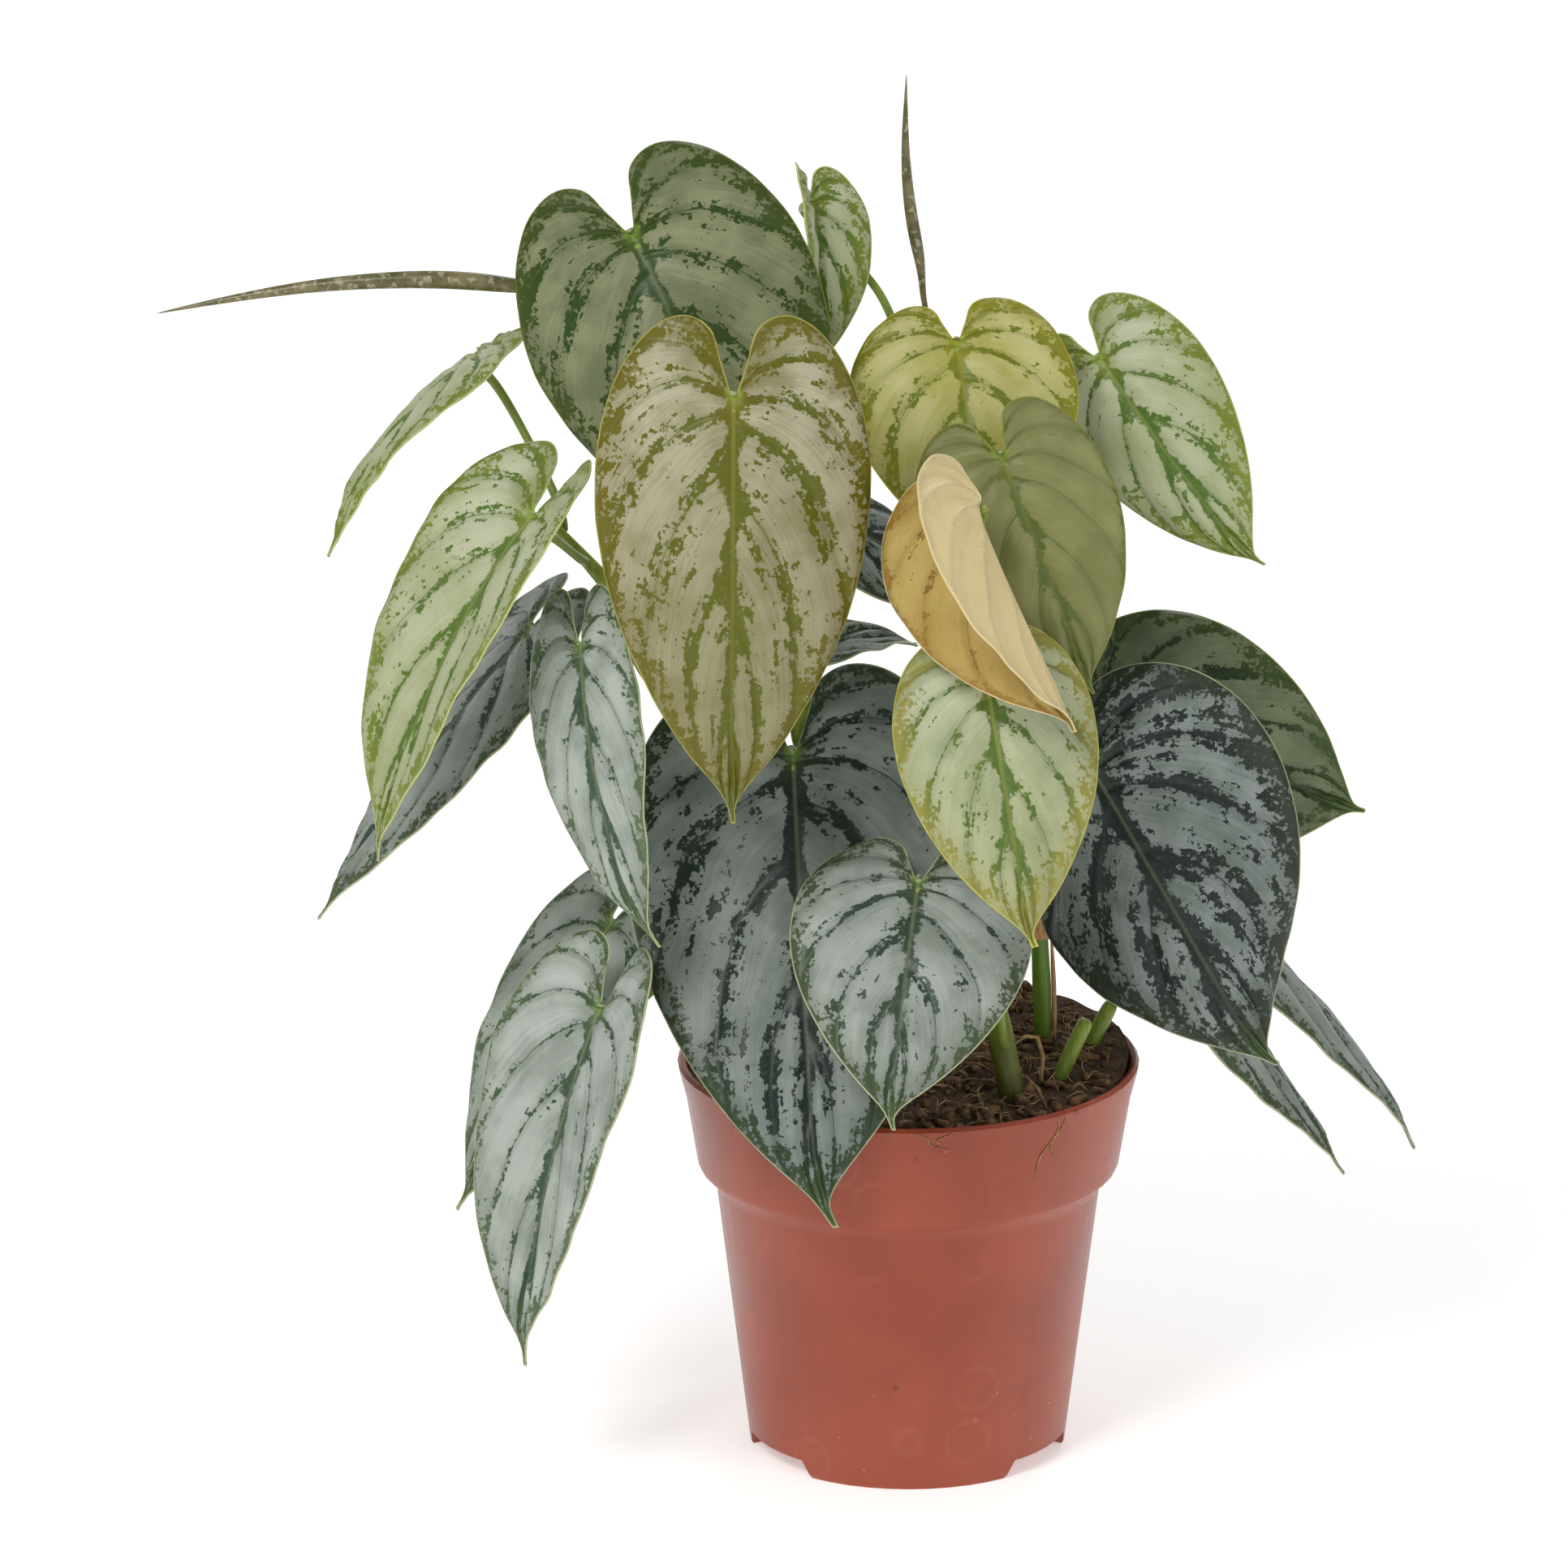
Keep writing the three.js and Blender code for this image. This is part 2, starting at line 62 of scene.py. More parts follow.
camera = bpy.data.objects.new("camera", bpy.data.cameras.new("camera"))
camera.location = aim + camera_distance * Vector((0, -math.cos(camera_lift), math.sin(camera_lift)))
camera.rotation_euler = (math.pi / 2 - camera_lift, 0, 0)
camera.data.sensor_width = 36
camera.data.lens = 355.5
camera.data.clip_end = 100
bpy.context.scene.collection.objects.link(camera)
bpy.context.scene.camera = camera
bpy.context.scene.view_settings.view_transform = "Standard"


def lamp(name, place, size, power, colour):
    """A round soft lamp that faces the plant."""
    light = bpy.data.objects.new(name, bpy.data.lights.new(name, "AREA"))
    light.data.shape = "DISK"
    light.data.size = size
    light.data.energy = power
    light.data.color = colour
    light.location = place
    light.rotation_euler = (plant_middle - Vector(place)).to_track_quat("-Z", "Y").to_euler()
    bpy.context.scene.collection.objects.link(light)


lamp("key", place=(-0.9, -1.5, 1.9), size=1.0, power=27, colour=(1, 0.985, 0.96))
lamp("fill", place=(1.7, -1.0, 1.0), size=1.4, power=5, colour=(0.97, 0.985, 1))
lamp("back", place=(0.5, 1.7, 1.5), size=1.2, power=9, colour=(1, 1, 1))

world = bpy.data.worlds.new("studio")
world.use_nodes = True
world.node_tree.nodes["Background"].inputs["Color"].default_value = (1, 1, 1, 1)
bpy.context.scene.world = world


def feed(tree, node, inputs):
    """Gives a node its inputs; each is another node's output or a plain value."""
    for key, value in inputs.items():
        if isinstance(value, bpy.types.NodeSocket):
            tree.links.new(value, node.inputs[key])
        else:
            node.inputs[key].default_value = value


def put(tree, kind, inputs=None, **settings):
    """Adds one shader node with its settings and inputs."""
    node = tree.nodes.new("ShaderNode" + kind)
    for name, value in settings.items():
        setattr(node, name, value)
    feed(tree, node, inputs or {})
    return node


def calc(tree, operation, *terms):
    return put(tree, "Math", dict(enumerate(terms)), operation=operation).outputs[0]


# The dome lights the plant softly, and looks paper-white where it is seen itself.
sky = world.node_tree
seen = put(sky, "LightPath").outputs["Is Camera Ray"]
glow = calc(sky, "MULTIPLY_ADD", seen, 1 - dome_glow, dome_glow)
feed(sky, sky.nodes["Background"], {"Strength": glow})


def mix(tree, share, first, second):
    return put(tree, "Mix", {0: share, 6: first, 7: second}, data_type="RGBA").outputs[2]


def rise(tree, value, low, high, start=0.0, end=1.0):
    """Climbs smoothly from start to end while value goes from low to high."""
    node = put(
        tree, "MapRange",
        {"Value": value, "From Min": low, "From Max": high, "To Min": start, "To Max": end},
        interpolation_type="SMOOTHSTEP",
    )
    return node.outputs["Result"]


def object_place(tree):
    return put(tree, "TexCoord").outputs["Object"]


def grain(tree, place, scale, detail=3.0, rough=0.55):
    """Plain noise from 0 to 1; scale is its lumps to the metre."""
    inputs = {"Vector": place, "Scale": scale, "Detail": detail, "Roughness": rough}
    return put(tree, "TexNoise", inputs).outputs[0]


def tint(code):
    """A screen colour, two hex digits each of red, green and blue, as a linear colour."""
    parts = [int(code[i : i + 2], 16) / 255 for i in (1, 3, 5)]
    return tuple(c / 12.92 if c < 0.04045 else ((c + 0.055) / 1.055) ** 2.4 for c in parts) + (1,)


def new_material(name, **plain):
    """A material with its Principled shader; plain holds the values that are the same all over."""
    material = bpy.data.materials.new(name)
    material.use_nodes = True
    shader = material.node_tree.nodes["Principled BSDF"]
    for key, value in plain.items():
        shader.inputs[key.replace("_", " ")].default_value = value
    return material, material.node_tree, shader


floor_look, tree, shader = new_material(
    "floor_paper", Roughness=0.9, Emission_Strength=0.4, Emission_Color=(1, 1, 1, 1)
)
fibre = grain(tree, object_place(tree), 40.0)
paper = mix(tree, fibre, (0.93, 0.93, 0.93, 1), (0.96, 0.96, 0.96, 1))
feed(tree, shader, {"Base Color": paper})
floor = bpy.data.objects.new("floor", bpy.data.meshes.new("floor"))
shape = bmesh.new()
bmesh.ops.create_grid(shape, x_segments=4, y_segments=4, size=paper_half)
shape.to_mesh(floor.data)
floor.data.materials.append(floor_look)
bpy.context.scene.collection.objects.link(floor)

# ---- Nursery pot ----
# Thin terracotta-coloured polypropylene, moulded in one piece: a deep rim band steps in to the
# tapering wall, and three shallow feet lift the drained base. It stands loose on the floor.

pot_rounding = 0.0006
flat_bend = math.radians(0.6)
sharp_bend = math.radians(40)
bevelled_bend = math.radians(28)


def copied(node):
    """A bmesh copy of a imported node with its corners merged."""
    shape = bmesh.new()
    shape.from_mesh(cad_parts[node].data)
    bmesh.ops.remove_doubles(shape, verts=shape.verts, dist=2e-6)
    shape.verts.index_update()
    return shape


def made(name, shape, looks, nodes=()):
    """Turns a bmesh into a finished piece of the object."""
    mesh = bpy.data.meshes.new(name)
    shape.to_mesh(mesh)
    shape.free()
    piece = bpy.data.objects.new(name, mesh)
    bpy.context.scene.collection.objects.link(piece)
    for look in looks:
        mesh.materials.append(look)
    mesh.shade_smooth()
    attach(piece, "root")
    if nodes:
        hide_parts(*nodes)
    return piece


def settle(piece):
    """Makes the piece's modifiers part of its mesh."""
    graph = bpy.context.evaluated_depsgraph_get()
    mesh = bpy.data.meshes.new_from_object(
        piece.evaluated_get(graph), preserve_all_data_layers=True, depsgraph=graph
    )
    piece.modifiers.clear()
    piece.data = mesh


def new_group(name, inputs, outputs):
    """An empty node group, its inputs' sockets and its output node; inputs and outputs name kinds."""
    group = bpy.data.node_groups.new(name, "ShaderNodeTree")
    for way, sockets in (("INPUT", inputs), ("OUTPUT", outputs)):
        for socket, kind in sockets.items():
            group.interface.new_socket(socket, in_out=way, socket_type="NodeSocket" + kind)
    return group, group.nodes.new("NodeGroupInput").outputs, group.nodes.new("NodeGroupOutput")


def speckle_group():
    """Dust specks, dark spots and the rings of dried drips, each given out as a mask."""
    group, ends, out = new_group(
        "dust_and_drips",
        {"Place": "Vector", "Amount": "Float"},
        {"Dust": "Float", "Spots": "Float", "Rings": "Float"},
    )
    place, amount = ends["Place"], ends["Amount"]

    def cells(scale):
        return put(group, "TexVoronoi", {"Vector": place, "Scale": scale}).outputs["Distance"]

    def both(first, second):
        return calc(group, "MULTIPLY", first, second)

    patches = rise(group, grain(group, place, 22.0), 0.42, 0.72)
    speck = rise(group, cells(420.0), 0.03, 0.2, 1.0, 0.0)
    speck_here = rise(group, grain(group, place, 160.0, 1.0), 0.58, 0.66)
    dust = both(both(speck, speck_here), patches)
    spot = rise(group, cells(130.0), 0.05, 0.13, 1.0, 0.0)
    spot_here = rise(group, grain(group, place, 70.0, 1.0), 0.6, 0.66)
    wide = cells(62.0)
    band = both(rise(group, wide, 0.3, 0.36), rise(group, wide, 0.38, 0.46, 1.0, 0.0))
    ring_here = rise(group, grain(group, place, 35.0, 1.0), 0.52, 0.62)
    masks = {"Dust": dust, "Spots": both(spot, spot_here), "Rings": both(band, ring_here)}
    feed(group, out, {name: both(mask, amount) for name, mask in masks.items()})
    return group


dust_and_drips = speckle_group()

pot_look, tree, shader = new_material(
    "pot_terracotta_plastic", IOR=1.47, Coat_Weight=0.06, Coat_Roughness=0.15
)
place = object_place(tree)
cloud = grain(tree, place, 28.0, 4.0)
fine = grain(tree, place, 900.0, 2.0)
marks = put(tree, "Group", {"Place": place, "Amount": 1.0}, node_tree=dust_and_drips).outputs
body = mix(tree, rise(tree, cloud, 0.3, 0.7), tint("#8d391f"), tint("#9f462a"))
for mark, share, colour in (("Rings", 0.06, "#c98b76"), ("Dust", 0.7, "#d9b09c"), ("Spots", 0.75, "#5a2c20")):
    body = mix(tree, calc(tree, "MULTIPLY", marks[mark], share), body, tint(colour))
satin = rise(tree, cloud, 0.2, 0.8, 0.3, 0.42)
gloss = calc(tree, "MULTIPLY_ADD", marks["Dust"], 0.3, satin)
relief = calc(tree, "MULTIPLY_ADD", marks["Dust"], 0.8, fine)
bump = put(tree, "Bump", {"Strength": 0.12, "Distance": 0.0004, "Height": relief}).outputs["Normal"]
feed(tree, shader, {"Base Color": body, "Roughness": gloss, "Normal": bump})

shape = copied("pot")
bmesh.ops.dissolve_limit(shape, angle_limit=flat_bend, verts=shape.verts, edges=shape.edges)
for edge in shape.edges:
    edge.smooth = edge.is_manifold and edge.calc_face_angle(0) < sharp_bend
pot = made("nursery_pot", shape, [pot_look], ["pot"])
round_off = pot.modifiers.new("round_off", "BEVEL")
round_off.width = pot_rounding
round_off.segments = 3
round_off.limit_method = "ANGLE"
round_off.angle_limit = bevelled_bend
round_off.harden_normals = False
settle(pot)
pot.data.shade_smooth()

# ---- Potting soil ----
# Dark damp peat with bark crumbs and coco fibre, pressed in by hand to just under the rim. It heaps
# a little towards the stems and the back, and pale fibres lie loose on top.

soil_low, soil_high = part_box("soil")
soil_radius = (soil_high.x - soil_low.x) / 2
soil_reach = soil_radius + 0.0007
soil_edge = soil_high.z - 0.0045
soil_foot = 0.0375
# Radius and height of the plug's side, from its foot up the tapering wall.
soil_side = (
    (soil_foot * 0.5, soil_low.z), (soil_foot, soil_low.z), (soil_foot + 0.006, 0.035),
    (0.047, 0.07), (0.0535, 0.08),
)
soil_rings = 64
soil_turns = 160


def soil_height(x, y):
    """The lumpy top of the soil at a place."""
    reach = min(1.0, math.hypot(x - pot_axis.x, y - pot_axis.y) / soil_radius)
    spot = Vector((x, y, 0))
    lump = noise.noise(spot * 95) * 0.0016 + noise.noise(spot * 260) * 0.001
    lump += noise.noise(spot * 620) * 0.0006
    banked = 0.8 * (y - pot_axis.y) / soil_radius + 0.45 * (x - pot_axis.x) / soil_radius + 0.35
    heap = 0.0034 * (1 - reach**2) + 0.0062 * min(max(banked, 0.0), 1.0)
    return soil_edge + heap + lump * (1 - 0.4 * reach**6)


shape = bmesh.new()
profile = [(0, soil_low.z), *soil_side]
profile += [(soil_reach * (1 - step / soil_rings), soil_edge) for step in range(soil_rings)]
profile.append((0, soil_edge))
line = [shape.verts.new((pot_axis.x + radius, pot_axis.y, height)) for radius, height in profile]
edges = [shape.edges.new(pair) for pair in zip(line, line[1:])]
bmesh.ops.spin(
    shape, geom=line + edges, cent=pot_axis, axis=(0, 0, 1), angle=math.tau, steps=soil_turns, use_merge=True
)
bmesh.ops.remove_doubles(shape, verts=shape.verts, dist=1e-5)
bmesh.ops.recalc_face_normals(shape, faces=shape.faces)
for vert in shape.verts:
    if vert.co.z > soil_edge - 1e-5:
        vert.co.z = soil_height(vert.co.x, vert.co.y)

soil_look, tree, shader = new_material("potting_peat")
place = object_place(tree)
lumps = grain(tree, place, 240.0, 6.0, 0.7)
crumb = grain(tree, place, 900.0, 4.0, 0.7)
body = mix(tree, rise(tree, lumps, 0.3, 0.7), tint("#2a1d12"), tint("#6e5138"))
body = mix(tree, rise(tree, crumb, 0.56, 0.74), body, tint("#a5835c"))
relief = calc(tree, "ADD", lumps, crumb)
bump = put(tree, "Bump", {"Strength": 0.9, "Distance": 0.0012, "Height": relief}).outputs["Normal"]
feed(tree, shader, {"Base Color": body, "Roughness": rise(tree, crumb, 0.2, 0.8, 0.8, 1.0), "Normal": bump})
made("potting_soil", shape, [soil_look], ["soil"])


def fibre_look(name, dark, pale):
    """Dry woody stuff, mottled from dark to pale."""
    look, tree, shader = new_material(name, Roughness=0.8)
    mottle = rise(tree, grain(tree, object_place(tree), 500.0, 3.0), 0.3, 0.7)
    feed(tree, shader, {"Base Color": mix(tree, mottle, tint(dark), tint(pale))})
    return look


bark = fibre_look("bark_crumb", "#3c2916", "#8f6c48")
coir = fibre_look("coco_fibre", "#957049", "#d8b98c")
chance = random.Random(7)
crumb_count = 620
fibre_count = 330
shape = bmesh.new()
for crumb in range(crumb_count):
    angle = chance.uniform(0, math.tau)
    reach = soil_radius * math.sqrt(chance.random()) * 0.97
    x, y = pot_axis.x + reach * math.cos(angle), pot_axis.y + reach * math.sin(angle)
    turn = Matrix.Rotation(chance.uniform(0, math.tau), 4, Vector((chance.random(), chance.random(), 1)))
    size = chance.uniform(0.0005, 0.0016) * chance.choice((1, 1, 1, 1.7))
    grow = Matrix.Diagonal((size * chance.uniform(1, 2.2), size, size * chance.uniform(0.4, 0.9), 1))
    spot = Matrix.Translation((x, y, soil_height(x, y) + size * 0.2))
    lump = bmesh.ops.create_icosphere(shape, subdivisions=1, radius=1, matrix=spot @ turn @ grow)
    for vert in lump["verts"]:
        dent = Vector((chance.uniform(-1, 1), chance.uniform(-1, 1), chance.uniform(-1, 1)))
        vert.co += dent * size * 0.25
made("soil_crumbs", shape, [bark])


def strand(shape, points, radius, sides=5):
    """A thin closed tube through the points, thinning at both ends.

    Each ring is the one before it, swung round to the new heading, so the tube doesn't twist.
    """
    heading = points[1] - points[0]
    foot = Matrix.Translation(points[0]) @ heading.to_track_quat("Z", "Y").to_matrix().to_4x4()
    ring = bmesh.ops.create_circle(shape, cap_ends=True, segments=sides, radius=radius * 0.4, matrix=foot)
    face = ring["verts"][0].link_faces[0]
    for step in range(1, len(points)):
        grown = bmesh.ops.extrude_face_region(shape, geom=[face])["geom"]
        if step > 1:
            bmesh.ops.delete(shape, geom=[face], context="FACES_ONLY")
        face = [g for g in grown if isinstance(g, bmesh.types.BMFace)][0]
        ahead = points[min(step + 1, len(points) - 1)] - points[step - 1]
        swing = heading.rotation_difference(ahead)
        heading = ahead
        girth = radius * (0.4 + 0.6 * math.sin(math.pi * min(step / (len(points) - 1) * 1.05, 1)))
        for vert in face.verts:
            arm = (vert.co - points[step - 1]).normalized()
            arm.rotate(swing)
            vert.co = points[step] + arm * girth


shape = bmesh.new()
for hair in range(fibre_count):
    angle = chance.uniform(0, math.tau)
    reach = soil_radius * math.sqrt(chance.random()) * 0.93
    heading = chance.uniform(0, math.tau)
    x, y = pot_axis.x + reach * math.cos(angle), pot_axis.y + reach * math.sin(angle)
    points = []
    pace = chance.uniform(0.0006, 0.0026)
    for step in range(6):
        heading += chance.uniform(-0.5, 0.5)
        x += pace * math.cos(heading)
        y += pace * math.sin(heading)
        if math.hypot(x - pot_axis.x, y - pot_axis.y) > soil_radius * 0.97:
            break
        points.append(Vector((x, y, soil_height(x, y) + 0.0004 + 0.0008 * math.sin(step * 0.6))))
    if len(points) > 3:
        strand(shape, points, chance.uniform(0.0001, 0.00022))
bmesh.ops.recalc_face_normals(shape, faces=shape.faces)
made("coco_fibres", shape, [coir])

# ---- Stems ----
# Four fleshy climbing stems rooted in the soil, the vine, the thick front one, the one beside it and
# one at the rear. Old joints are darker and a little swollen; growing tips are thin and bright.

stem_sides = 10
joint_swell = 0.14
coplanar = math.radians(0.5)
quad_bend = math.radians(60)
# A smoothed tube shrinks by about this much, so it starts out fuller.
tube_fullness = 1.1


def patches(shape, joined):
    """The faces sorted into patches, whose faces meet at edges that pass the joined test."""
    left = set(shape.faces)
    found = []
    for first in shape.faces:
        if first not in left:
            continue
        left.discard(first)
        stack = [first]
        patch = []
        while stack:
            face = stack.pop()
            patch.append(face)
            for edge in face.edges:
                if joined(edge):
                    for other in edge.link_faces:
                        if other in left:
                            left.discard(other)
                            stack.append(other)
        found.append(patch)
    return found


def in_order(verts):
    """A set of corners as a list in the mesh's own order, so that each run adds them up alike."""
    return sorted(verts, key=lambda vert: vert.index)


def rings_of(shape, sides, start):
    """The rings of corners of a copied tube, from the end nearest to start."""
    flats = []
    for patch in patches(shape, lambda edge: edge.calc_face_angle(0) < coplanar):
        verts = in_order({v for f in patch for v in f.verts})
        if len(patch) == sides - 2 and len(verts) == sides:
            middle = sum((v.co for v in verts), Vector()) / sides
            flats.append((max((v.co - middle).length for v in verts), (middle - start).length, verts))
    ends = sorted(flats, key=lambda flat: flat[0])[:2]
    ring = set(min(ends, key=lambda flat: flat[1])[2])
    rings, seen = [], set()
    while ring:
        rings.append(in_order(ring))
        seen |= ring
        ring = {e.other_vert(v) for v in ring for e in v.link_edges} - seen
    return rings


def join_quads(shape):
    bmesh.ops.join_triangles(
        shape, faces=shape.faces, angle_face_threshold=quad_bend, angle_shape_threshold=quad_bend
    )


def rounded(piece, levels):
    """Smooths a piece's mesh for good."""
    smooth = piece.modifiers.new("smooth", "SUBSURF")
    smooth.levels = smooth.render_levels = levels
    settle(piece)


def tube_piece(name, node, sides, start, look, reach=(0.0, 0.0), girth=None):
    """A round stalk grown from a packed tube, and the middles of its rings.

    reach lengthens its two ends, and girth says how full it is along its length.
    """
    shape = copied(node)
    along = shape.verts.layers.float.new("along")
    rings = rings_of(shape, sides, start)
    middles = [sum((v.co for v in ring), Vector()) / len(ring) for ring in rings]
    last = len(rings) - 1
    for index, ring in enumerate(rings):
        share = index / last
        swell = tube_fullness * (girth(share) if girth else 1)
        for vert in ring:
            vert[along] = share
            vert.co = middles[index] + (vert.co - middles[index]) * swell
    for vert in rings[0]:
        vert.co += (middles[0] - middles[1]).normalized() * reach[0]
    for vert in rings[-1]:
        vert.co += (middles[-1] - middles[-2]).normalized() * reach[1]
    join_quads(shape)
    rounded(made(name, shape, [look], [node]), 2)
    return middles


def stalk_look(name, low, high, streak, spots, foot=0.0):
    """Fleshy green stalk, from low to high, with fine streaks, corky flecks and a brown foot."""
    look, tree, shader = new_material(name, IOR=1.42)
    along = put(tree, "Attribute", attribute_name="along").outputs["Fac"]
    place = object_place(tree)
    drawn = put(tree, "Mapping", {"Vector": place, "Scale": (1.0, 1.0, 0.12)}).outputs["Vector"]
    lines = grain(tree, drawn, 900.0, 2.0)
    cloud = grain(tree, place, 90.0, 3.0)
    flecks = rise(tree, grain(tree, place, 650.0, 1.0), 0.66, 0.72)
    patchy = calc(tree, "ADD", along, calc(tree, "MULTIPLY_ADD", cloud, 0.5, -0.25))
    body = mix(tree, patchy, tint(low), tint(high))
    body = mix(tree, calc(tree, "MULTIPLY", rise(tree, lines, 0.4, 0.7), 0.45), body, tint(streak))
    body = mix(tree, calc(tree, "MULTIPLY", flecks, spots), body, tint("#5b4526"))
    if foot:
        uneven = calc(tree, "ADD", along, calc(tree, "MULTIPLY_ADD", cloud, 0.08, -0.04))
        body = mix(tree, rise(tree, uneven, foot, foot + 0.09, 0.8, 0.0), body, tint("#3d2c10"))
    gloss = rise(tree, cloud, 0.3, 0.7, 0.26, 0.42)
    bump = put(tree, "Bump", {"Strength": 0.35, "Distance": 0.0003, "Height": lines}).outputs["Normal"]
    feed(tree, shader, {"Base Color": body, "Roughness": gloss, "Normal": bump})
    return look


vine_look = stalk_look("vine_stem", "#6f7a30", "#97a43c", "#5d6a26", 0.5, 0.06)
old_look = stalk_look("old_stem", "#6f7c22", "#8a9a3a", "#5a6f20", 0.4, 0.07)
fresh_look = stalk_look("fresh_stem", "#6f9432", "#84a23c", "#4f7a2a", 0.25, 0.05)


def noded(count, swell, full=1.0):
    """Swells a stem at each of its nodes and thins its growing tip."""

    def girth(share):
        joint = max(0.0, math.cos(math.tau * count * share)) ** 6
        tip = max(0.0, (share - 0.9) / 0.1)
        return full * (1 + swell * joint) * (1 - 0.55 * tip)

    return girth


underground = Vector((0, 0, -1))
lines_of = {}
for stem, look, joints, full in (
    ("vine", vine_look, 6, 1.0),
    ("centre", old_look, 7, 0.95),
    ("right", fresh_look, 6, 0.76),
    ("rear", fresh_look, 4, 0.9),
):
    node = "stem_" + stem
    girth = noded(joints, joint_swell, full)
    lines_of[stem] = tube_piece(node + "_grown", node, stem_sides, underground, look, (0, 0.0002), girth)

# ---- Aerial roots ----
# Two woody brown roots from the lowest joint of the front stem, as thick as string. One arches out
# and down into the soil, and the other creeps down close to the stem.


def beside(stem, height, out):
    """A place beside a stem's axis at a height."""
    line = lines_of[stem]
    after = next(i for i in range(1, len(line)) if line[i].z >= height)
    share = (height - line[after - 1].z) / (line[after].z - line[after - 1].z)
    return line[after - 1].lerp(line[after], share) + Vector(out)


root_look = fibre_look("aerial_root", "#7a5c34", "#b79a66")
ground = soil_edge + 0.001
# Height over the ground, then how far beside the stem, to the right and to the back.
arched = (
    (0.014, 0.0022, 0.002), (0.0155, 0.006, 0.005), (0.0145, 0.0088, 0.007),
    (0.010, 0.0092, 0.007), (0.005, 0.0082, 0.007), (-0.002, 0.0072, 0.008),
)
creeping = ((0.008, 0), (0.0075, 0.002), (0.005, 0.0045), (0.001, 0.006), (-0.002, 0.0065))
creeping = [(height, 0.0024 + out, -0.001 - out * 0.6) for height, out in creeping]
shape = bmesh.new()
for route, radius in ((arched, 0.0006), (creeping, 0.00045)):
    points = [beside("centre", ground + height, (right, back, 0)) for height, right, back in route]
    strand(shape, points, radius, 7)
bmesh.ops.recalc_face_normals(shape, faces=shape.faces)
made("aerial_roots", shape, [root_look])

# ---- Rootlets ----
# Hair-thin brown roots of the same plant that crept over the rim and dried flat against the outside
# of the pot.

rootlet_radius = 0.00016
rootlet_points = 12
wall = BVHTree.FromBMesh(copied("pot"))


def on_wall(angle, height):
    """A place on the pot's outer face, by its angle from the front and its height."""
    outward = Vector((math.sin(angle), -math.cos(angle), 0))
    start = Vector((pot_axis.x, pot_axis.y, height)) + outward * 0.1
    return wall.ray_cast(start, -outward)[0] + outward * 0.0002


shape = bmesh.new()
# Angle from the front, how far round it drifts, and how far down it creeps.
for angle, drift, drop in (
    (0.73, -0.14, 0.017), (0.02, 0.14, 0.005), (0.68, 0.02, 0.012), (0.16, -0.05, 0.004),
):
    points = []
    for step in range(rootlet_points):
        share = step / (rootlet_points - 1)
        sway = 0.02 * math.sin(7 * share + 9 * angle)
        points.append(on_wall(angle + drift * share + sway, pot_high.z - 0.0012 - drop * share))
    strand(shape, points, rootlet_radius)
bmesh.ops.recalc_face_normals(shape, faces=shape.faces)
made("rootlets", shape, [root_look])

# ---- Leaves ----
# Leathery heart-shaped blades, each hung by its notch from a thin fleshy stalk. A blade is a sheet
# under half a millimetre thick, quilted between its veins, splashed with silver, with a pale margin.

COLUMNS, ROWS = 6, 11
sheet_thickness = 0.0004
# In millimetres: how high the fields between the veins stand, and how far the sheet sways.
quilt = 1.35
ruffle = 1.0
# How many veins there are to a row, and how far out of step the two sides and the leaves are.
vein_pace, side_step, leaf_step = 0.62, 0.3, 0.37


